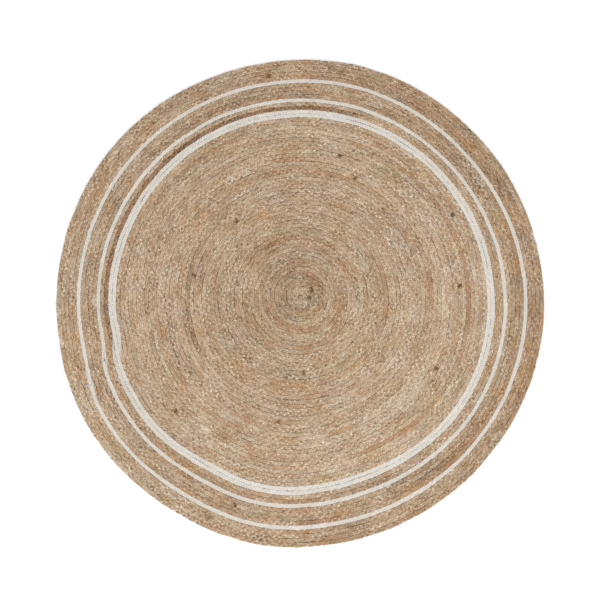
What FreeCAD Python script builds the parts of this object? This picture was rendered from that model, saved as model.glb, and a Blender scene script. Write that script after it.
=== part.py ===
import FreeCAD, Part
import math
import os
import Sketcher

# A round braided rug: flat plaits coiled edge to edge into one flat spiral and laced together
# turn by turn. A new plait is spliced on wherever the colour changes.
#
# The spiral is made of half turns. Each half turn's radius is half a row larger than the last,
# and the centres take turns between two points, a quarter of a row each side of the middle.
# All splices are on one radius, which is +X while the rug is built. The last step turns the rug
# to its own direction and centres it on the origin, with its underside on Z = 0.

doc = FreeCAD.newDocument("braided_rug")

# ---------------------------------------------------------------- driving dimensions (mm, deg)

SIZES = [
    ("row_pitch", "9.96", "from one row of plait to the next; 60 turns make the rug 1.2 m across"),
    ("row_gap", "0.4", "clear space between two rows of plait"),
    ("plait_height", "8", "thickness of the rug"),
    ("edge_chamfer", "2.2", "slope along each edge of a flattened plait"),
    ("thread_diameter", "1.4", "waxed jute lacing thread"),
    ("lacing_level", "1.25", "height of the lacing thread's middle above the floor"),
    ("neck_diameter", "5.2", "a plait drawn in where it is spliced or ends"),
    ("neck_length", "6.5", "length of the drawn-in end of one plait"),
    ("start_neck_length", "3.7", "the same, where the innermost turn leaves less room"),
    ("binding_thread", "1.1", "diameter of the whipping thread round a neck"),
    ("binding_pitch", "1.2", "from one turn of whipping to the next"),
    ("binding_ease", "0.05", "clear space between a neck and its whipping"),
    ("tail_angle", "12", "part of a turn over which the outer end narrows"),
    ("overrun", "1", "how far cutters and joined ends run past the faces they meet"),
    ("splice_direction", "197", "direction of the splices, anticlockwise from +X"),
]

sheet = doc.addObject("Spreadsheet::Sheet", "Sizes")
for row, (alias, number, meaning) in enumerate(SIZES, start=1):
    sheet.set(f"A{row}", alias)
    sheet.set(f"B{row}", number)
    sheet.set(f"C{row}", meaning)
    sheet.setAlias(f"B{row}", alias)
doc.recompute()

# The plaits from the middle outwards, each with its length in half turns.
PLAITS = [
    ("centre_braid", 91),
    ("inner_white_braid", 4),
    ("inner_natural_braid", 4),
    ("middle_white_braid", 2),
    ("middle_natural_braid", 8),
    ("outer_white_braid", 2),
    ("border_braid", 9),
]
FIRST_LACED_HALF_TURN = 2      # the sewing starts once there is a turn to sew to
SPLICE_BINDING_TURNS = 8       # turns of whipping over a splice
END_BINDING_TURNS = 3          # turns of whipping on a free end

# Formulas that several objects share, in the sheet's words
PITCH = "Sizes.row_pitch"
MID_LEVEL = "Sizes.plait_height / 2"
RING_RADIUS = "(Sizes.neck_diameter / 2 + Sizes.binding_thread / 2 + Sizes.binding_ease)"


def bind(thing, **expressions):
    """Bind properties to formulas; a double underscore stands for a dot."""
    for path, formula in expressions.items():
        thing.setExpression(path.replace("__", "."), formula)


def radius_of(half_turn):
    """Formula for the radius of a half turn, to the middle of the plait."""
    return f"({half_turn + 1} * {PITCH} / 2)"


def centre_of(half_turn):
    """Formula for X at the centre of a half turn: even ones are the +Y side, odd ones -Y."""
    return f"{PITCH} / 4" if half_turn % 2 == 0 else f"-{PITCH} / 4"


def end_of(half_turn):
    """Formula for X where a half turn ends: even ones end on +X, odd ones on -X."""
    side = "" if half_turn % 2 == 0 else "-"
    return f"{side}({half_turn + 1.5} * {PITCH} / 2)"


# ---------------------------------------------------------------- cross-sections

UPRIGHT = FreeCAD.Rotation(FreeCAD.Vector(1, 0, 0), 90)
ALONG_Y = FreeCAD.Rotation(FreeCAD.Vector(1, 0, 0), -90)
UPSIDE_DOWN = FreeCAD.Rotation(FreeCAD.Vector(1, 0, 0), 180)
SOME_TURN = FreeCAD.Rotation(FreeCAD.Vector(0, 0, 1), 1)   # sets the axis; a formula sets the angle


def upright_outline(name, x, corners):
    """A closed outline in the plane Y = 0, moved to x; corners are formulas for across and up."""
    sketch = doc.addObject("Sketcher::SketchObject", name)
    sketch.Placement.Rotation = UPRIGHT
    bind(sketch, Placement__Base__x=x)
    count = len(corners)
    start_angles = [2 * math.pi * index / count for index in range(count)]
    loose = [FreeCAD.Vector(math.cos(angle), math.sin(angle), 0) for angle in start_angles]
    for line in range(count):
        sketch.addGeometry(Part.LineSegment(loose[line], loose[(line + 1) % count]))
    for line in range(count):
        following = (line + 1) % count
        sketch.addConstraint(Sketcher.Constraint("Coincident", line, 2, following, 1))
    for line, (across, up) in enumerate(corners):
        for kind, formula, value in (("DistanceX", across, loose[line].x),
                                     ("DistanceY", up, loose[line].y)):
            index = sketch.addConstraint(Sketcher.Constraint(kind, -1, 1, line, 1, value))
            sketch.setExpression(f"Constraints[{index}]", formula)
    return sketch


def plait_section(name, x):
    """A flattened plait: a rectangle standing on Z = 0 with its four edges sloped off."""
    side = "(Sizes.row_pitch - Sizes.row_gap) / 2"
    slope = "Sizes.edge_chamfer"
    top = "Sizes.plait_height"
    return upright_outline(name, x, [
        (f"{side} - {slope}", "0"),
        (side, slope),
        (side, f"{top} - {slope}"),
        (f"{side} - {slope}", top),
        (f"{slope} - {side}", top),
        (f"-{side}", f"{top} - {slope}"),
        (f"-{side}", slope),
        (f"{slope} - {side}", "0"),
    ])


def thread_section(name, x):
    """An eight-sided lacing thread, in the valley under the seam between two rows."""
    half = "Sizes.thread_diameter / 2"
    half_flat = f"{half} * tan(22.5)"
    level = "Sizes.lacing_level"
    return upright_outline(name, x, [
        (half, f"{level} - {half_flat}"),
        (half, f"{level} + {half_flat}"),
        (half_flat, f"{level} + {half}"),
        (f"-{half_flat}", f"{level} + {half}"),
        (f"-{half}", f"{level} + {half_flat}"),
        (f"-{half}", f"{level} - {half_flat}"),
        (f"-{half_flat}", f"{level} - {half}"),
        (half_flat, f"{level} - {half}"),
    ])


# ---------------------------------------------------------------- building blocks


def bundle(name, members):
    """Keep solids together in one object without joining them."""
    compound = doc.addObject("Part::Compound", name)
    compound.Links = members
    return compound


def join(name, pieces):
    fused = doc.addObject("Part::MultiFuse", name)
    fused.Shapes = pieces
    return fused


def cut(name, base, tool):
    result = doc.addObject("Part::Cut", name)
    result.Base = base
    result.Tool = tool
    return result


def spiral_path(name, half_turns, short_by="0"):
    """The middle line of a run of half turns, on the floor, clockwise and outwards.

    The last arc is cut short by an angle.
    """
    arcs = []
    for n in half_turns:
        arc = doc.addObject("Part::Circle", f"{name}_{n}")
        arc.Placement.Rotation = UPSIDE_DOWN
        first_angle = 180 if n % 2 == 0 else 0
        arc.Angle1 = first_angle
        arc.Angle2 = first_angle + 180
        bind(arc, Radius=radius_of(n), Placement__Base__x=centre_of(n))
        arcs.append(arc)
    bind(arcs[-1], Angle2=f"{first_angle} + 180 - {short_by}")
    return bundle(name, arcs)


def sweep(name, section, path):
    """Sweep a section along every arc of a path."""
    result = doc.addObject("Part::Sweep", name)
    result.Sections = [section]
    result.Spine = (path, [f"Edge{number}" for number in range(1, len(path.Links) + 1)])
    result.Solid = True
    result.Frenet = True
    return result


def neck_bar(name, x, y, length):
    """A plait's round neck, along +Y from (x, y) at mid height."""
    cylinder = doc.addObject("Part::Cylinder", name)
    cylinder.Placement.Rotation = ALONG_Y
    bind(cylinder, Radius="Sizes.neck_diameter / 2", Height=length, Placement__Base__x=x,
         Placement__Base__y=y, Placement__Base__z=MID_LEVEL)
    return cylinder


def neck_cutter(name, x):
    """What is cut away round a splice, to draw both plaits in to a round neck."""
    block = doc.addObject("Part::Box", f"{name}_block")
    bind(block, Length=PITCH, Width="2 * Sizes.neck_length",
         Height="Sizes.plait_height + 2 * Sizes.overrun",
         Placement__Base__x=f"{x} - {PITCH} / 2", Placement__Base__y="-Sizes.neck_length",
         Placement__Base__z="-Sizes.overrun")
    core = neck_bar(f"{name}_core", x, "-(Sizes.neck_length + Sizes.overrun)",
                    "2 * (Sizes.neck_length + Sizes.overrun)")
    return cut(name, block, core)


def whipping(name, x, first_y, turns):
    """Turns of thread round a neck that lies along Y, drawn as rings side by side."""
    rings = []
    for turn in range(turns):
        ring = doc.addObject("Part::Torus", f"{name}_turn_{turn}")
        ring.Placement.Rotation = ALONG_Y
        bind(ring, Radius1=RING_RADIUS, Radius2="Sizes.binding_thread / 2",
             Placement__Base__x=x, Placement__Base__z=MID_LEVEL,
             Placement__Base__y=f"{first_y} + {turn} * Sizes.binding_pitch")
        rings.append(ring)
    return bundle(name, rings)


def outer_end(last):
    """The end of the last half turn, on -X: it narrows from outside, then is a whipped neck."""
    centre = centre_of(last)
    inner_radius = f"({radius_of(last)} - ({PITCH} - Sizes.row_gap) / 2)"
    outer_radius = f"({radius_of(last)} + ({PITCH} - Sizes.row_gap) / 2)"
    neck_offset = "(Sizes.neck_diameter / 2 + Sizes.binding_thread + Sizes.binding_ease)"
    tip_radius = f"({inner_radius} + {neck_offset} + Sizes.neck_diameter / 2)"
    inset = f"({outer_radius} - {tip_radius} * cos(Sizes.tail_angle))"
    reach = f"({tip_radius} * sin(Sizes.tail_angle))"
    taper_radius = f"(({inset} ^ 2 + {reach} ^ 2) / (2 * {inset}))"

    full_width = doc.addObject("Part::Revolution", "tail_full_width")
    full_width.Source = plait_section("tail_section", "0")
    full_width.Solid = True
    full_width.Axis = FreeCAD.Vector(0, 0, 1)
    bind(full_width, Angle="Sizes.tail_angle", Base__x=radius_of(last),
         Placement__Base__x=f"{centre} - {radius_of(last)}")
    taper = doc.addObject("Part::Cylinder", "tail_taper")
    offset = f"({outer_radius} - {taper_radius})"
    bind(taper, Radius=taper_radius, Height="Sizes.plait_height",
         Placement__Base__x=f"{centre} - {offset} * cos(Sizes.tail_angle)",
         Placement__Base__y=f"-{offset} * sin(Sizes.tail_angle)")
    tail = doc.addObject("Part::MultiCommon", "tail")
    tail.Shapes = [full_width, taper]

    neck_x = f"{centre} - {inner_radius} - {neck_offset}"
    neck = neck_bar("tail_neck", neck_x, "-Sizes.overrun", "Sizes.neck_length + Sizes.overrun")
    binding = whipping("tail_binding", neck_x, "Sizes.binding_pitch", END_BINDING_TURNS)
    return [tail, neck], binding


# ---------------------------------------------------------------- the nodes

nodes = {}

# Whipped splices, all on +X, between each plait and the next
first_half_turns = {}
splice_cutters = {name: [] for name, _ in PLAITS}
next_half_turn = 0
previous = None
for name, length in PLAITS:
    first_half_turns[name] = next_half_turn
    if previous:
        splice_x = end_of(next_half_turn - 1)
        cutter = neck_cutter(f"{name}_neck_cutter", splice_x)
        splice_cutters[previous].append(cutter)
        splice_cutters[name].append(cutter)
        binding_name = name.replace("_braid", "_splice_binding")
        half_spread = f"{(SPLICE_BINDING_TURNS - 1) / 2} * Sizes.binding_pitch"
        nodes[binding_name] = whipping(binding_name, splice_x, f"-{half_spread}",
                                       SPLICE_BINDING_TURNS)
    next_half_turn += length
    previous = name

# The inner end: a short neck that points into the hollow of the first turn
start_x = f"-{PITCH} / 4"
start_neck = neck_bar("start_neck", start_x, "-Sizes.start_neck_length", "Sizes.start_neck_length")
nodes["start_binding"] = whipping(
    "start_binding", start_x, "-(Sizes.start_neck_length - Sizes.binding_pitch / 2)",
    END_BINDING_TURNS)

tail_pieces, nodes["tail_binding"] = outer_end(next_half_turn - 1)
end_pieces = {"centre_braid": [start_neck], "border_braid": tail_pieces}

# The plaits themselves, and the thread that sews each one to the turn inside it
for name, length in PLAITS:
    first = first_half_turns[name]
    half_turns = range(first, first + length)
    start = end_of(first - 1)
    is_last = name == "border_braid"
    path = spiral_path(f"{name}_path", half_turns, "Sizes.tail_angle" if is_last else "0")
    whole = sweep(f"{name}_whole", plait_section(f"{name}_section", start), path)
    cutters = splice_cutters[name]
    cutter = cutters[0] if len(cutters) == 1 else bundle(f"{name}_cutters", cutters)
    if name in end_pieces:
        necked = cut(f"{name}_necked", whole, cutter)
        nodes[name] = join(name, [necked] + end_pieces[name])
    else:
        nodes[name] = cut(name, whole, cutter)

    lacing_name = name.replace("_braid", "_lacing")
    if first < FIRST_LACED_HALF_TURN:
        half_turns = range(FIRST_LACED_HALF_TURN, first + length)
        start = end_of(FIRST_LACED_HALF_TURN - 1)
        path = spiral_path(f"{lacing_name}_path", half_turns)
    inward = "-" if half_turns[0] % 2 else "+"
    seam = thread_section(f"{lacing_name}_section", f"{start} {inward} {PITCH} / 2")
    nodes[lacing_name] = bundle(lacing_name, [sweep(f"{lacing_name}_thread", seam, path)])

# ---------------------------------------------------------------- turn, centre, check, write

for name, node in nodes.items():
    node.Label = name
    node.Placement.Rotation = SOME_TURN
    bind(node, Placement__Base__x=f"{PITCH} / 4", Placement__Base__y=f"-{PITCH} / 4",
         Placement__Rotation__Angle="Sizes.splice_direction")

doc.recompute()

for item in doc.Objects:
    if "Invalid" in item.State or "Error" in item.State:
        raise RuntimeError(f"{item.Name} did not recompute: {item.State}")
for name, node in nodes.items():
    if node.Shape.isNull() or not node.Shape.isValid():
        raise RuntimeError(f"{name} has no valid shape")

os.makedirs("parts", exist_ok=True)
for name, node in nodes.items():
    node.Shape.exportStep(f"parts/{name}.step")
    box = node.Shape.BoundBox
    print(f"{name}: {len(node.Shape.Solids)} solid(s), {node.Shape.Volume:.0f} mm3, "
          f"X {box.XMin:.1f}..{box.XMax:.1f}, Y {box.YMin:.1f}..{box.YMax:.1f}, "
          f"Z {box.ZMin:.2f}..{box.ZMax:.2f}")
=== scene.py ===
import math

import bpy
import numpy as np
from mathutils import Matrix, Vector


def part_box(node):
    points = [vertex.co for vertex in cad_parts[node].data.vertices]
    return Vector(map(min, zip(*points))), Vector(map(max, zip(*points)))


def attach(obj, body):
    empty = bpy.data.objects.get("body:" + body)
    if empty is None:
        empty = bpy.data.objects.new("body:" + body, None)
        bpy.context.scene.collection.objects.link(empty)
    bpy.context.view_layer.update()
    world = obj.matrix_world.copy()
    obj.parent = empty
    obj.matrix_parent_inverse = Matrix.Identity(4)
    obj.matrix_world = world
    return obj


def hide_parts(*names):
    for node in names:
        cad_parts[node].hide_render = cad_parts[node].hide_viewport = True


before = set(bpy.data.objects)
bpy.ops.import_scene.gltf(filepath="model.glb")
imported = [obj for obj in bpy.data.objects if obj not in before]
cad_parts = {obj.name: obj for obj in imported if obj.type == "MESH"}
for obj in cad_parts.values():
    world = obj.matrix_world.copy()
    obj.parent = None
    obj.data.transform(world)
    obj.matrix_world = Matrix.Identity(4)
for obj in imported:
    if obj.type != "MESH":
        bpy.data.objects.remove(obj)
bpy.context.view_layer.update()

MM = 0.001
TAU = 2 * math.pi

# ---------------------------------------------------------------- the rug's layout, from the frame


def size_across(node):
    low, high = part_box(node)
    return high[0] - low[0]


BRAIDS = [                       # from the middle outwards: CAD node, slot's first word, turns
    ("centre_braid", "natural", 45.5),
    ("inner_white_braid", "bleached", 2.0),
    ("inner_natural_braid", "natural", 2.0),
    ("middle_white_braid", "bleached", 1.0),
    ("middle_natural_braid", "natural", 4.0),
    ("outer_white_braid", "bleached", 1.0),
    ("border_braid", "natural", 4.5),
]
TURNS = sum(turns for _, _, turns in BRAIDS)
# Two turns of white make the rug four rows wider, two on each side.
ROW = (size_across("inner_white_braid") - size_across("centre_braid")) / 4
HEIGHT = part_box("border_braid")[1][2]
START_DIRECTION = math.radians(17)         # where the coil starts and where its tail ends
RING_RADIUS = (BRAIDS[0][2] + 1.25) * ROW  # the middle of the wide white ring
EDGE_RADIUS = (TURNS + 0.25) * ROW

# ---------------------------------------------------------------- how the coil wanders

# The rug isn't quite round. Each dent has a direction and a spread in degrees, and how far it
# pushes the wide white ring and the outer edge outwards, in mm.
DENTS = [
    (0, 20, 0, 5),                         # the outline bulges to the right
    (45, 15, 0, -5),                       # and is flat at the upper right
    (105, 15, 0, -5),                      # and at the top
    (190, 4, -5, 0),                       # the white ring has a kink at its splices
    (210, 12, 0, 5),                       # the outline bulges at the lower left
    (240, 10, -11, 0),                     # the ring is flat there
    (260, 10, 0, 5),                       # the outline bulges again
    (290, 20, -18, 0),                     # the ring's longest flat, at the bottom
]
SWELL = 4 * MM                             # the rows inside the wide ring are laced loosely
ROUND_WITHIN = 0.13                        # the middle of the coil has no dents
CENTRE_SHIFT = (-0.002, 0.017)             # the coil's first turns lie off the rug's middle


def smooth_step(x):
    x = np.clip(x, 0.0, 1.0)
    return x * x * (3 - 2 * x)


def row_line(turn, across=0.0):
    """Points on the floor at a turn count from the coil's start, moved outwards by across."""
    radius = (turn + 0.25) * ROW
    angle = START_DIRECTION - TAU * turn
    outwards = np.clip((radius - RING_RADIUS) / (EDGE_RADIUS - RING_RADIUS), 0, 1)
    inwards = smooth_step((radius - ROUND_WITHIN) / (RING_RADIUS - ROUND_WITHIN))
    push = SWELL * inwards * (1 - outwards)
    for direction, spread, at_ring, at_edge in DENTS:
        off = np.angle(np.exp(1j * (angle - math.radians(direction)))) / math.radians(spread)
        size = (at_ring + (at_edge - at_ring) * outwards) * inwards
        push = push + size * MM * np.exp(-0.5 * off * off)
    shifted = 1 - smooth_step(radius / (RING_RADIUS * 1.1))
    reach = radius + push + across
    x = CENTRE_SHIFT[0] * shifted + reach * np.cos(angle)
    y = CENTRE_SHIFT[1] * shifted + reach * np.sin(angle)
    return x, y


def spread_at(turn):
    """How far the rows lie apart at a turn count, as a share of the even spacing."""
    x, y = row_line(turn)
    gaps = []
    for neighbour in (-1, 1):
        near_x, near_y = row_line(np.maximum(turn + neighbour, -0.25))
        gaps.append(np.hypot(near_x - x, near_y - y))
    return np.where(turn > 1, sum(gaps) / 2 / ROW, 1.0)


def length_at(turn):
    """Length of row from the coil's start."""
    return TAU * ROW * (turn * turn / 2 + turn / 4)


def turn_at(length):
    return -0.25 + np.sqrt(0.0625 + length / (math.pi * ROW))


class Drift:
    """A smooth random value along a plait, with a new random knot at every spacing."""

    def __init__(self, rng, total, spacing):
        self.spacing = spacing
        self.knots = rng.normal(0, 1, int(total / spacing) + 4)

    def __call__(self, length):
        place = np.maximum(length, 0) / self.spacing
        index = place.astype(int)
        share = smooth_step(place - index)
        return self.knots[index] * (1 - share) + self.knots[index + 1] * share


# ---------------------------------------------------------------- mesh building

SQUARENESS = 0.7                  # 1 is an ellipse, and less is squarer


def squarer(share):
    """Pushes a round section's corners out, as in a strand that is pressed flat."""
    return np.sign(share) * np.abs(share) ** SQUARENESS


def tube_mesh(name, middles, side_ways, up_ways, tints, along, sides, twist=0.0):
    """Closed tubes round lines of points.

    middles is tube x ring x 3. side_ways and up_ways hold each ring's half width and half height
    as vectors. tints and along go to the material, as does a direction round the tube, which
    turns with the strand's twist, in radians a metre.
    """
    tubes, rings, _ = middles.shape
    around = np.arange(sides) * TAU / sides
    across, up = squarer(np.cos(around)), squarer(np.sin(around))
    points = (middles[:, :, None, :]
              + side_ways[:, :, None, :] * across[None, None, :, None]
              + up_ways[:, :, None, :] * up[None, None, :, None])
    tube = np.arange(tubes)[:, None, None] * rings * sides
    here = tube + np.arange(rings - 1)[None, :, None] * sides
    corner = np.arange(sides)[None, None, :]
    after = (corner + 1) % sides
    quads = np.stack([here + corner, here + after,
                      here + sides + after, here + sides + corner], -1)
    corners = quads.reshape(-1)
    first_cap = tube[:, 0, :] + np.arange(sides)[None, ::-1]
    last_cap = tube[:, 0, :] + (rings - 1) * sides + np.arange(sides)[None, :]
    caps = np.concatenate([first_cap, last_cap]).reshape(-1)
    mesh = bpy.data.meshes.new(name)
    mesh.vertices.add(points.size // 3)
    mesh.vertices.foreach_set("co", points.astype(np.float32).ravel())
    mesh.loops.add(corners.size + caps.size)
    mesh.loops.foreach_set("vertex_index", np.concatenate([corners, caps]))
    mesh.polygons.add(corners.size // 4 + 2 * tubes)
    starts = np.concatenate([np.arange(corners.size // 4) * 4,
                             corners.size + np.arange(2 * tubes) * sides])
    mesh.polygons.foreach_set("loop_start", starts)
    mesh.update(calc_edges=True)
    mesh.shade_smooth()
    turned = around[None, None, :] + twist * along[:, :, None]
    fibre = np.stack(np.broadcast_arrays(along[:, :, None], np.cos(turned), np.sin(turned)), -1)
    tint = np.repeat(tints[:, :, None, :], sides, axis=2)
    for key, values in (("fibre", fibre), ("tint", tint)):
        attribute = mesh.attributes.new(key, "FLOAT_VECTOR", "POINT")
        attribute.data.foreach_set("vector", values.astype(np.float32).ravel())
    return mesh


def unit(vectors):
    return vectors / np.linalg.norm(vectors, axis=-1, keepdims=True)


def cross_ways(middles):
    """Unit vectors to the side of and upwards from lines of points."""
    ahead = unit(np.gradient(middles, axis=1))
    flat = np.stack([-ahead[..., 1], ahead[..., 0], np.zeros(ahead.shape[:-1])], axis=-1)
    side = unit(flat + 1e-9)
    return side, np.cross(ahead, side)


def add_piece(name, mesh, material, slot, *replaced):
    """A piece that rides on the rug and stands for CAD nodes."""
    mesh.materials.append(material)
    piece = bpy.data.objects.new(name, mesh)
    bpy.context.scene.collection.objects.link(piece)
    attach(piece, "root")
    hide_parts(*replaced)
    return piece


# ---------------------------------------------------------------- yarn colours along a strand

# Stretches of row that stand out: turn count, half width in turns, direction of its middle and
# half length in degrees, how much darker, how much redder
STREAKS = [
    (3.5, 0.5, 0, 400, 0.7, 0.0),
    (5.9, 0.5, 60, 90, 0.8, 0.2),
    (8.0, 0.8, 235, 70, 0.2, 1.2),
    (10.4, 0.5, 60, 100, 0.6, 0.4),
    (14.5, 0.5, 100, 40, 0.6, 0.3),
    (20.6, 0.5, 320, 90, 0.1, 0.6),
    (27.5, 0.4, 185, 25, 0.8, 0.2),
    (30.8, 0.4, 330, 30, 0.4, 0.7),
    (31.6, 0.5, 60, 65, 0.4, 0.6),
    (35.0, 0.5, 225, 40, 0.3, 0.8),
    (41.1, 0.4, 25, 30, 0.9, 1.0),
    (41.0, 0.4, 325, 35, 0.8, 0.9),
    (42.5, 0.4, 130, 22, 0.7, 0.5),
    (47.75, 0.25, 150, 75, 2.4, 0.5),
    (49.0, 0.4, 230, 60, 0.4, 0.4),
    (51.2, 0.5, 180, 150, 0.3, 0.5),
    (54.1, 0.4, 300, 90, 0.2, 0.5),
    (58.9, 0.7, 310, 50, 0.4, 0.6),
]

# Dark marks, turn count and direction in degrees: bits of bark in the fibre, and in the first two,
# near the coil's middle, painted shade of small holes there
BARK_AND_HOLE_SHADE = [(1.6, 350), (2.7, 28), (17.8, 273), (25.0, 129), (26.2, 167), (30.4, 260), (33.0, 66),
        (37.3, 75), (37.5, 334), (39.3, 6), (40.0, 221), (42.5, 30), (52.6, 252), (56.8, 98)]
MARK_DARKNESS = 4.0
MARK_LENGTH = 3.5 * MM

# Tone of the rows by turn count: the middle and the border are darker
FADE_TURNS = (0, 10, 25, 34, 45, 48, 52, 60)
FADE_TONES = (-0.65, -0.27, -0.1, 0.12, 0.15, -0.15, -0.42, -0.42)
GREY_TURNS = 8                             # the middle is greyer, up to this turn
GREYNESS = 0.45
PALE_FIELD_DIRECTION = math.radians(330)   # the side where the middle rows are paler
PALE_FIELD = 0.15
PALE_BORDER_DIRECTION = math.radians(205)  # the same for the outer rows
PALE_BORDER = 0.35

# How strongly the drifts count: tone over about 0.8 m, 0.1 m and 15 mm of strand, then redness and
# greenness over about a metre and 60 mm
TONE_WEIGHTS = (0.25, 0.35, 0.45)
RED_WEIGHTS = (0.35, 0.8)
GREEN_WEIGHTS = (0.3, 0.75)
DRIFT_SPACINGS = (0.8, 0.1, 0.015, 1.1, 0.06, 0.9, 0.06)


def weighted(weights, drifts, length):
    """The sum of drifts at a length, each times its weight."""
    return sum(weight * drift(length) for weight, drift in zip(weights, drifts))


def strand_tint(drifts, turn, length):
    """Tone, redness and greenness of a strand along its length."""
    tone = weighted(TONE_WEIGHTS, drifts[:3], length)
    red = weighted(RED_WEIGHTS, drifts[3:5], length)
    green = weighted(GREEN_WEIGHTS, drifts[5:], length)
    angle = START_DIRECTION - TAU * turn
    outer = smooth_step((turn - 46) / 6)
    tone += np.interp(turn, FADE_TURNS, FADE_TONES)
    paler = np.cos(angle - PALE_FIELD_DIRECTION) * smooth_step(turn / 12)
    tone += PALE_FIELD * (1 - outer) * paler
    tone += PALE_BORDER * outer * np.cos(angle - PALE_BORDER_DIRECTION)
    green += GREYNESS * (1 - smooth_step(turn / GREY_TURNS))
    for place, width, middle, reach, darker, redder in STREAKS:
        off = np.degrees(np.abs(np.angle(np.exp(1j * (angle - math.radians(middle))))))
        near = np.exp(-0.5 * ((turn - place) / width) ** 2) * smooth_step((reach - off) / 12 + 0.5)
        tone -= darker * near
        red += redder * near
    # Darkens the strand at each mark: bark, and near the coil's middle painted shade of holes
    for place, direction in BARK_AND_HOLE_SHADE:
        turns_past = np.round(place + direction / 360 - math.degrees(START_DIRECTION) / 360)
        mark_turn = turns_past - (direction - math.degrees(START_DIRECTION)) / 360
        off = length - length_at(mark_turn) + length_at(turn[0])
        tone -= MARK_DARKNESS * np.exp(-0.5 * (off / MARK_LENGTH) ** 2)
    return np.stack([tone, red, green], axis=-1)


# ---------------------------------------------------------------- plaits

BRAID_PERIOD = 18.6 * MM          # length of row in which a strand crosses over and back
STEPS = 12                        # rings of a strand in one period
STRAND_SIDES = 6
STRANDS = 3
SWING = 2.85 * MM                 # how far a strand swings either side of its row
LIFT = 1.1 * MM                   # how far it rises and dips
STRAND_HALF_WIDTH = 2.6 * MM
STRAND_HALF_HEIGHT = 2.15 * MM
EDGE_WIDTH = 0.22                 # how much wider a strand is where it turns over at the edge
EDGE_THICKNESS = 0.45             # how much thicker it is there
STRAND_TWIST = 90.0               # radians a metre
PIECE_PERIODS = 445               # periods of one braid in one piece, to keep the pieces light
LANE_GAP = 9.0                    # metres of texture between one strand and the next
SLOW_SLIP = 1.3                   # radians by which the crossings run ahead or behind, over 0.3 m
QUICK_SLIP = 0.35                 # the same over 30 mm
SWAY = 0.35                       # mm by which a row strays from its line
CENTRE_SWAY = 0.45                # how much more it does so in the first turns
CENTRE_SWAY_TURNS = 4
BULGING = 0.03                    # how unevenly wide a row is
LOOSENESS = 0.12                  # how unevenly far a strand swings
UNEVENNESS = 0.08                 # how unevenly thick a strand is
DRAWN_IN = 0.2                    # how much narrower a plait is under its whipping

# At a splice the old plait's end and the new one's start lie side by side, both tapered. Each
# plait's start has the place of its middle, past the splice line, and the taper's length, in
# metres. A place before the line is negative.
OVERLAPS = {
    "centre_braid": (-0.006, 0.006),
    "inner_white_braid": (0.022, 0.055),
    "inner_natural_braid": (0.028, 0.060),
    "middle_white_braid": (0.008, 0.080),
    "middle_natural_braid": (0.008, 0.080),
    "outer_white_braid": (-0.040, 0.100),
    "border_braid": (-0.040, 0.100),
}
TAIL_OVERLAP = (-0.110, 0.220)
THINNEST = 0.12                   # width of a tapered tip, as a share of the plait's own
START_INSET = 1.8 * MM            # the first stitch is pulled in over the coil's middle
NECK = 6 * MM                     # the whipping draws the plaits in over about this length


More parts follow.
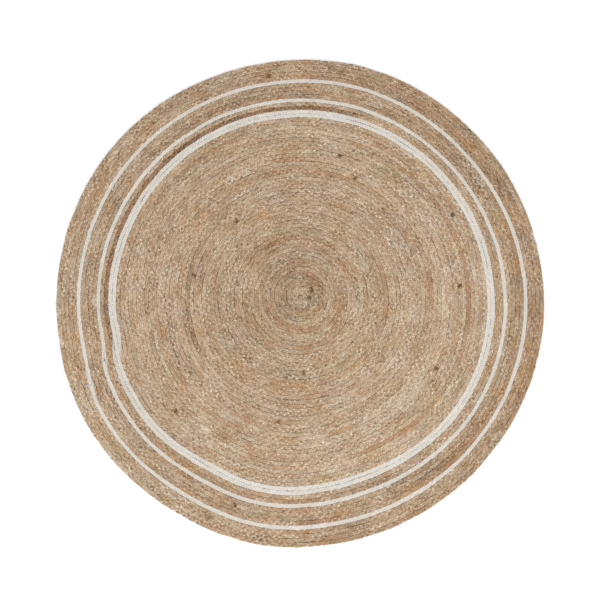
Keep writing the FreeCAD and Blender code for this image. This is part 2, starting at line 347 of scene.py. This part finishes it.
def build_braid(number, first_turn, last_turn, material):
    """A plait of three interlaced strands, in as many pieces as keep it light."""
    node, shade, _ = BRAIDS[number]
    rng = np.random.default_rng(100 + number)
    start_shift, start_taper = OVERLAPS[node]
    following = BRAIDS[number + 1][0] if number + 1 < len(BRAIDS) else None
    end_shift, end_taper = OVERLAPS[following] if following else TAIL_OVERLAP
    start = length_at(first_turn) + start_shift
    end = length_at(last_turn) + end_shift
    first, last = start - start_taper / 2, end + end_taper / 2
    if node == "centre_braid":
        first = length_at(-0.12)
    steps = round((last - first) / BRAID_PERIOD * STEPS)
    length = np.linspace(first, last, steps + 1)
    turn = turn_at(length)
    total = last - first
    local = length - first

    rising = np.clip((length - start) / start_taper + 0.5, 0, 1)
    falling = np.clip((end - length) / end_taper + 0.5, 0, 1)
    width = THINNEST + (1 - THINNEST) * np.minimum(rising, falling)
    aside = ROW / 2 * np.where(rising < 1, 1 - width, width - 1)
    for splice in (start, end):
        drawn_in = 1 - DRAWN_IN * np.exp(-((length - splice) / NECK) ** 2)
        width = width * drawn_in
        aside = aside * drawn_in
    if node == "centre_braid":
        aside = np.where(rising < 1, 0, aside) - START_INSET * np.exp(-local / START_INSET / 4)

    slip = SLOW_SLIP * Drift(rng, total, 0.3)(local) + QUICK_SLIP * Drift(rng, total, 0.03)(local)
    bulge = spread_at(turn) * (1 + BULGING * Drift(rng, total, 0.05)(local))
    stray = MM * (SWAY + CENTRE_SWAY * np.exp(-turn / CENTRE_SWAY_TURNS))
    sway = stray * Drift(rng, total, 0.04)(local)
    strands, tints, lanes, thickness, tallness = [], [], [], [], []
    for strand in range(STRANDS):
        phase = TAU * (length / BRAID_PERIOD + strand / STRANDS) + slip
        loose = 1 + LOOSENESS * Drift(rng, total, 0.009)(local)
        across = aside + sway + SWING * np.sin(phase) * width * bulge * loose
        lift = LIFT * np.sin(2 * phase) * np.sqrt(width) * (2 - loose)
        x, y = row_line(turn, across)
        strands.append(np.stack([x, y, HEIGHT / 2 + lift], axis=1))
        drifts = [Drift(rng, total, spacing) for spacing in DRIFT_SPACINGS]
        tints.append(strand_tint(drifts, turn, local))
        lanes.append(local)
        at_edge = np.sin(phase) ** 2
        uneven = 1 + UNEVENNESS * Drift(rng, total, 0.008)(local)
        thickness.append(width ** 0.6 * bulge * (1 + EDGE_WIDTH * at_edge) * uneven)
        tallness.append(width ** 0.4 * (1 + EDGE_THICKNESS * at_edge))
    middles, tints, lanes = np.array(strands), np.array(tints), np.array(lanes)
    side, up = cross_ways(middles)
    side_ways = side * STRAND_HALF_WIDTH * np.array(thickness)[..., None]
    up_ways = up * STRAND_HALF_HEIGHT * np.array(tallness)[..., None]

    pieces = math.ceil(steps / STEPS / PIECE_PERIODS)
    cuts = np.linspace(0, steps, pieces + 1).astype(int)
    for piece in range(pieces):
        part = slice(cuts[piece], cuts[piece + 1] + 1)
        along = lanes[:, part] - lanes[:, part][:, :1] + LANE_GAP * np.arange(STRANDS)[:, None]
        name = f"{node}_strands_{piece + 1}"
        mesh = tube_mesh(name, middles[:, part], side_ways[:, part], up_ways[:, part],
                         tints[:, part], along, STRAND_SIDES, STRAND_TWIST)
        add_piece(name, mesh, material, f"{shade}_jute", node)


# ---------------------------------------------------------------- sewing and whipping

LACING_STITCH = 20 * MM           # one zigzag of the lacing thread
LACING_STEPS = 6
LACING_RADIUS = 0.55 * MM
LACING_REACH = 3.0 * MM           # how far it zigzags either side of the seam
LACING_HEIGHT = 1.7 * MM          # how high its middle lies, and how far it rises and dips
LACING_RISE = 0.7 * MM
THREAD_TWIST = 900.0              # radians a metre
FIRST_LACED_TURN = 1.0
BINDING_RADIUS = 0.5 * MM
BINDING_PITCH = 1.05 * MM
BINDING_STEPS = 16                # points in one turn of whipping
# Turns of thread, half width and half height of each kind of whipping
SPLICE_WHIPPING = (8, 3.5 * MM, 2.8 * MM)
START_WHIPPING = (3, 3.4 * MM, 3.2 * MM)
TAIL_WHIPPING = (3, 1.3 * MM, 2.2 * MM)


def plain_tubes(name, middles, radius, sides, rng):
    side, up = cross_ways(middles)
    tints = np.repeat(rng.normal(0, 0.3, (middles.shape[0], 1, 3)), middles.shape[1], axis=1)
    steps = np.linalg.norm(np.diff(middles, axis=1), axis=-1)
    along = np.concatenate([np.zeros((len(middles), 1)), np.cumsum(steps, axis=1)], axis=1)
    return tube_mesh(name, middles, side * radius, up * radius, tints, along, sides,
                     THREAD_TWIST)


def build_lacing(node, first_turn, last_turn, material, slot):
    """A thread that zigzags under the seam between a row and the row inside it."""
    first = length_at(max(first_turn, FIRST_LACED_TURN))
    last = length_at(last_turn)
    count = round((last - first) / LACING_STITCH * LACING_STEPS)
    length = np.linspace(first, last, count + 1)
    phase = TAU * length / LACING_STITCH
    x, y = row_line(turn_at(length), -ROW / 2 + LACING_REACH * np.sin(phase))
    height = LACING_HEIGHT + LACING_RISE * np.sin(2 * phase)
    middles = np.stack([x, y, height], axis=1)[None]
    mesh = plain_tubes(node, middles, LACING_RADIUS, 4, np.random.default_rng(7))
    add_piece(f"{node}_thread", mesh, material, slot, node)


def build_binding(node, middle, whipping, material, slot, aside=0.0):
    """Thread wound round the row, its middle at a length of row from the coil's start."""
    turns_of_thread, half_width, half_height = whipping
    count = turns_of_thread * BINDING_STEPS
    wound = np.linspace(0, turns_of_thread, count + 1)
    length = middle + (wound - turns_of_thread / 2) * BINDING_PITCH
    x, y = row_line(turn_at(length), aside + half_width * np.cos(TAU * wound))
    height = HEIGHT / 2 + half_height * np.sin(TAU * wound)
    middles = np.stack([x, y, height], axis=1)[None]
    mesh = plain_tubes(node, middles, BINDING_RADIUS, 6, np.random.default_rng(8))
    add_piece(f"{node}_whipping", mesh, material, slot, node)


# ---------------------------------------------------------------- loose fibres

FIBRE_RADIUS = 0.13 * MM
LONGEST_FIBRE = 14 * MM
EDGE_FIBRES = 900
SURFACE_FIBRES = 4200
EDGE_ACROSS = 0.42                # where an edge fibre starts, in rows outwards from its row
SURFACE_ACROSS = 0.45             # how far either side of its row a surface fibre starts
SURFACE_FIBRE_LENGTHS = (4, 13)   # mm
FIBRE_STEPS = 4


def build_fibres(name, count, turns, heights, outward, material, slot, node, seed):
    """Fine fibres that have come loose from the strands."""
    rng = np.random.default_rng(seed)
    first, last = length_at(turns[0]), length_at(turns[1])
    turn = turn_at(rng.uniform(first, last, count))
    if outward:
        across = EDGE_ACROSS * ROW
    else:
        across = rng.uniform(-SURFACE_ACROSS, SURFACE_ACROSS, count) * ROW
    x, y = row_line(turn, across)
    x_on, y_on = row_line(turn + 0.0005, across)
    along_row = np.arctan2(y_on - y, x_on - x)
    if outward:
        heading = along_row + np.radians(rng.uniform(20, 90, count))
        bend = rng.normal(-0.9, 0.8, count)
        reach = rng.gamma(2.0, 2.0 * MM, count)
    else:
        heading = along_row + rng.normal(0, 0.7, count)
        bend = rng.normal(0, 0.9, count)
        reach = rng.uniform(*SURFACE_FIBRE_LENGTHS, count) * MM
    reach = np.minimum(reach, LONGEST_FIBRE)
    share = np.linspace(0, 1, FIBRE_STEPS + 1)[None, :]
    angle = heading[:, None] + bend[:, None] * share
    step = reach[:, None] / FIBRE_STEPS
    px = x[:, None] + np.cumsum(np.cos(angle) * step, axis=1)
    py = y[:, None] + np.cumsum(np.sin(angle) * step, axis=1)
    low = rng.uniform(*heights, count)[:, None]
    rise = rng.uniform(0.1, 1.0, count)[:, None] * MM
    pz = low + rise * np.sin(math.pi * share * rng.uniform(0.5, 1.0, count)[:, None])
    middles = np.stack([px, py, pz], axis=-1)
    mesh = plain_tubes(name, middles, FIBRE_RADIUS, 3, rng)
    add_piece(name, mesh, material, slot, node)


# ---------------------------------------------------------------- materials


class Nodes:
    """A small helper for node trees: makes a node, sets its inputs and links what is a socket."""

    def __init__(self, name):
        self.material = bpy.data.materials.new(name)
        self.material.use_nodes = True
        self.tree = self.material.node_tree
        self.shader = self.tree.nodes["Principled BSDF"]

    def set(self, node, inputs):
        for key, value in inputs.items():
            socket = node.inputs[key]
            if isinstance(value, bpy.types.NodeSocket):
                self.tree.links.new(value, socket)
            else:
                socket.default_value = value

    def add(self, kind, inputs=None, output=0, **settings):
        node = self.tree.nodes.new(kind)
        for key, value in settings.items():
            setattr(node, key, value)
        self.set(node, inputs or {})
        return node.outputs[output]

    def math(self, operation, first, second=0.0):
        return self.add("ShaderNodeMath", {0: first, 1: second}, operation=operation)

    def total(self, *terms):
        """The sum of value x weight for each (value, weight)."""
        result = 0.0
        for value, weight in terms:
            result = self.add("ShaderNodeMath", {0: value, 1: weight, 2: result},
                              operation="MULTIPLY_ADD")
        return result

    def vector(self, x, y, z):
        return self.add("ShaderNodeCombineXYZ", {0: x, 1: y, 2: z})

    def parts(self, vector):
        return [self.add("ShaderNodeSeparateXYZ", {0: vector}, output=index) for index in range(3)]

    def mix(self, share, first, second, blend="MIX"):
        return self.add("ShaderNodeMix", {0: share, 6: first, 7: second}, output=2,
                        data_type="RGBA", blend_type=blend)

    def range(self, value, low, high, to_low=0.0, to_high=1.0):
        return self.add("ShaderNodeMapRange", {"Value": value, "From Min": low, "From Max": high,
                                               "To Min": to_low, "To Max": to_high})

    def noise(self, vector, scale=1.0, detail=2.0, roughness=0.5):
        return self.add("ShaderNodeTexNoise", {"Vector": vector, "Scale": scale, "Detail": detail,
                                               "Roughness": roughness})

    def ramp(self, value, stops):
        output = self.add("ShaderNodeValToRGB", {"Fac": value})
        elements = output.node.color_ramp.elements
        elements[0].position, elements[0].color = stops[0]
        elements[1].position, elements[1].color = stops[-1]
        for position, colour in stops[1:-1]:
            elements.new(position).color = colour
        return output


def srgb(red, green, blue):
    """A linear colour from 0 to 255 sRGB values."""
    def linear(value):
        value /= 255
        return value / 12.92 if value <= 0.04045 else ((value + 0.055) / 1.055) ** 2.4
    return (linear(red), linear(green), linear(blue), 1.0)


YARNS = 7                         # yarns side by side round one strand
# Texture scales, in features a metre: the first four run along a strand
YARN_SCALE = 28.0
BLOTCH_SCALE = 210.0
HAIR_SCALE = 170.0
STRAND_STRAW_SCALE = 14.0
SPECKLE_SCALE = 330.0
PATCH_SCALE = 11.0
STRAW_SCALE = 17.0
# How much each adds to a strand's tone
TINT_SHARE = 0.13
YARN_SHARE = 0.8
BLOTCH_SHARE = 0.85
HAIR_SHARE = 0.5
PATCH_SHARE = 0.22
GROOVE_SHADE_STRENGTH = 0.35            # how strongly painted shade darkens the grooves between the yarns
# Colour of the painted shade in the grooves between the yarns
GROOVE_SHADE_COLOUR = (0.08, 0.055, 0.035, 1.0)
RELIEF_DEPTH = 0.0006             # metres


def jute_material(name, stops, red, green, fleck, contrast, shine):
    """Spun jute: yarns of drifting tones, fine fibres along them, and a few dark flecks."""
    n = Nodes(name)
    along, cosine, sine = n.parts(n.add("ShaderNodeAttribute", output=1, attribute_name="fibre"))
    tone, redness, greenness = n.parts(n.add("ShaderNodeAttribute", output=1,
                                             attribute_name="tint"))
    place = n.add("ShaderNodeTexCoord", output=3)
    yarn_place = n.math("MULTIPLY", n.math("ARCTAN2", sine, cosine), YARNS / TAU)
    yarn = n.math("FLOOR", yarn_place)
    groove = n.math("ABSOLUTE", n.math("SUBTRACT", n.math("FRACT", yarn_place), 0.5))
    groove = n.math("POWER", n.math("MULTIPLY", groove, 2.0), 4.0)
    yarn_tone = n.noise(n.vector(n.math("MULTIPLY", along, YARN_SCALE),
                                 n.math("MULTIPLY", yarn, 3.7), 0.0), 1.0, 1.0)
    blotch = n.noise(n.vector(n.math("MULTIPLY", along, BLOTCH_SCALE),
                              n.math("MULTIPLY", cosine, 1.6),
                              n.math("MULTIPLY", sine, 1.6)), 1.0, 3.0, 0.6)
    hairs = n.noise(n.vector(n.math("MULTIPLY", along, HAIR_SCALE),
                             n.math("MULTIPLY", cosine, 11.0),
                             n.math("MULTIPLY", sine, 11.0)), 1.0, 2.0, 0.6)
    speckle = n.noise(place, SPECKLE_SCALE, 2.0, 0.6)
    patches = n.noise(place, PATCH_SCALE, 3.0, 0.55)

    value = n.total((tone, TINT_SHARE * contrast),
                    (n.math("SUBTRACT", yarn_tone, 0.5), YARN_SHARE * contrast),
                    (n.math("SUBTRACT", blotch, 0.5), BLOTCH_SHARE * contrast),
                    (n.math("SUBTRACT", hairs, 0.5), HAIR_SHARE * contrast),
                    (n.math("SUBTRACT", patches, 0.5), PATCH_SHARE * contrast))
    colour = n.ramp(n.math("ADD", value, 0.5), stops)
    colour = n.mix(n.range(redness, 0.0, 2.0, 0.0, 0.75), colour, red)
    colour = n.mix(n.range(greenness, 0.1, 2.0, 0.0, 0.5), colour, green)
    strand_straw = n.noise(n.vector(n.math("MULTIPLY", along, STRAND_STRAW_SCALE), 5.0, 0.0),
                           1.0, 2.0)
    straw = n.math("ADD", strand_straw, n.noise(place, STRAW_SCALE, 2.0, 0.5))
    colour = n.add("ShaderNodeHueSaturation", {"Saturation": n.range(straw, 0.6, 1.4, 0.76, 1.14),
                                               "Color": colour})
    colour = n.mix(n.range(speckle, 0.70, 0.76, 0.0, 0.7), colour, fleck)
    # Painted shade: the grooves between the yarns are darkened
    colour = n.mix(n.math("MULTIPLY", groove, GROOVE_SHADE_STRENGTH), colour, GROOVE_SHADE_COLOUR)
    relief = n.total((groove, -0.6), (hairs, 0.5), (blotch, 0.25))
    n.set(n.shader, {
        "Base Color": colour,
        "Roughness": n.range(hairs, 0.3, 0.7, 0.88, 0.66),
        "Specular IOR Level": 0.3,
        "Sheen Weight": shine,
        "Sheen Roughness": 0.5,
        "Normal": n.add("ShaderNodeBump", {"Strength": 0.7, "Distance": RELIEF_DEPTH,
                                           "Height": relief}),
    })
    return n.material


def plain_material(name, colour, roughness):
    n = Nodes(name)
    n.set(n.shader, {"Base Color": colour, "Roughness": roughness, "Specular IOR Level": 0.1})
    return n.material


# ---------------------------------------------------------------- light, floor and camera

FLOOR_HALF_WIDTH = 15.0
SKY_STRENGTH = 0.75
LAMP_DISTANCE = 3.2
# Name, direction and elevation in degrees, power in watts, size in metres
LAMPS = [("key", 290, 62, 52, 2.4), ("fill", 120, 66, 20, 2.8)]
LENS = 85
PICTURE_FILL = 0.81                        # the share of the picture's width that the rug fills
OFF_CENTRE = (-0.0008, 0.0054)             # where the camera stands, in picture widths


def build_stage():
    floor_mesh = bpy.data.meshes.new("floor")
    far = FLOOR_HALF_WIDTH
    corners = [(-far, -far, 0), (far, -far, 0), (far, far, 0), (-far, far, 0)]
    floor_mesh.from_pydata(corners, [], [(0, 1, 2, 3)])
    floor = bpy.data.objects.new("floor", floor_mesh)
    bpy.context.scene.collection.objects.link(floor)
    floor.data.materials.append(plain_material("floor_white", (0.95, 0.95, 0.95, 1), 0.9))

    world = bpy.data.worlds.new("studio")
    bpy.context.scene.world = world
    world.use_nodes = True
    background = world.node_tree.nodes["Background"]
    background.inputs["Color"].default_value = (1.0, 1.0, 1.0, 1.0)
    background.inputs["Strength"].default_value = SKY_STRENGTH

    for name, direction, elevation, power, size in LAMPS:
        light = bpy.data.lights.new(name, "AREA")
        light.energy = power
        light.size = size
        lamp = bpy.data.objects.new(name, light)
        a, e = math.radians(direction), math.radians(elevation)
        lamp.location = (LAMP_DISTANCE * math.cos(a) * math.cos(e),
                         LAMP_DISTANCE * math.sin(a) * math.cos(e),
                         LAMP_DISTANCE * math.sin(e))
        lamp.rotation_euler = (-lamp.location).to_track_quat("-Z", "Y").to_euler()
        bpy.context.scene.collection.objects.link(lamp)


def build_camera():
    """Straight down, with the rug's outline a little below the middle of the picture."""
    camera_data = bpy.data.cameras.new("camera")
    camera = bpy.data.objects.new("camera", camera_data)
    bpy.context.scene.collection.objects.link(camera)
    bpy.context.scene.camera = camera
    picture_width = 2 * EDGE_RADIUS / PICTURE_FILL
    camera_data.lens = LENS
    distance = picture_width * camera_data.lens / camera_data.sensor_width
    right, up = OFF_CENTRE
    camera.location = (right * picture_width, up * picture_width, distance)
    camera_data.clip_end = 50


bpy.context.scene.view_settings.view_transform = "Standard"
build_stage()
build_camera()

NATURAL_STOPS = [(0.05, srgb(86, 61, 43)), (0.28, srgb(144, 112, 81)), (0.5, srgb(188, 162, 131)),
                 (0.72, srgb(213, 195, 170)), (0.95, srgb(236, 227, 211))]
BLEACHED_STOPS = [(0.05, srgb(156, 149, 137)), (0.3, srgb(200, 193, 183)),
                  (0.55, srgb(219, 213, 204)), (0.95, srgb(235, 232, 226))]
NATURAL_TINTS = {"red": srgb(176, 124, 78), "green": srgb(152, 145, 112),
                 "fleck": srgb(62, 50, 40)}
BLEACHED_TINTS = {"red": srgb(212, 198, 182), "green": srgb(194, 196, 180),
                  "fleck": srgb(140, 132, 112)}
MATERIALS = {
    "natural_jute": jute_material("natural_jute", NATURAL_STOPS, **NATURAL_TINTS,
                                  contrast=1.0, shine=0.12),
    "bleached_jute": jute_material("bleached_jute", BLEACHED_STOPS, **BLEACHED_TINTS,
                                   contrast=0.7, shine=0.12),
    "natural_thread": jute_material("natural_thread", NATURAL_STOPS, **NATURAL_TINTS,
                                    contrast=0.5, shine=0.05),
    "bleached_thread": jute_material("bleached_thread", BLEACHED_STOPS, **BLEACHED_TINTS,
                                     contrast=0.5, shine=0.05),
}

turn_count = 0.0
for braid_number, (braid, shade, braid_turns) in enumerate(BRAIDS):
    end_count = turn_count + braid_turns
    build_braid(braid_number, turn_count, end_count, MATERIALS[f"{shade}_jute"])
    thread = f"{shade}_thread"
    build_lacing(braid.replace("_braid", "_lacing"), turn_count, end_count, MATERIALS[thread],
                 thread)
    if turn_count:
        build_binding(braid.replace("_braid", "_splice_binding"),
                      length_at(turn_count) + OVERLAPS[braid][0], SPLICE_WHIPPING,
                      MATERIALS["bleached_thread"], "bleached_thread")
    turn_count = end_count
build_binding("start_binding", length_at(0.05), START_WHIPPING, MATERIALS["natural_thread"],
              "natural_thread")
build_binding("tail_binding", length_at(TURNS) - 5 * MM, TAIL_WHIPPING,
              MATERIALS["natural_thread"], "natural_thread", -0.42 * ROW)
build_fibres("edge_fibres", EDGE_FIBRES, (TURNS - 1, TURNS - 0.03), (1 * MM, 6 * MM),
             True, MATERIALS["natural_jute"], "natural_jute", "border_braid", 31)
build_fibres("surface_fibres", SURFACE_FIBRES, (1.0, 45.5), (6.6 * MM, 7.6 * MM),
             False, MATERIALS["natural_jute"], "natural_jute", "centre_braid", 32)
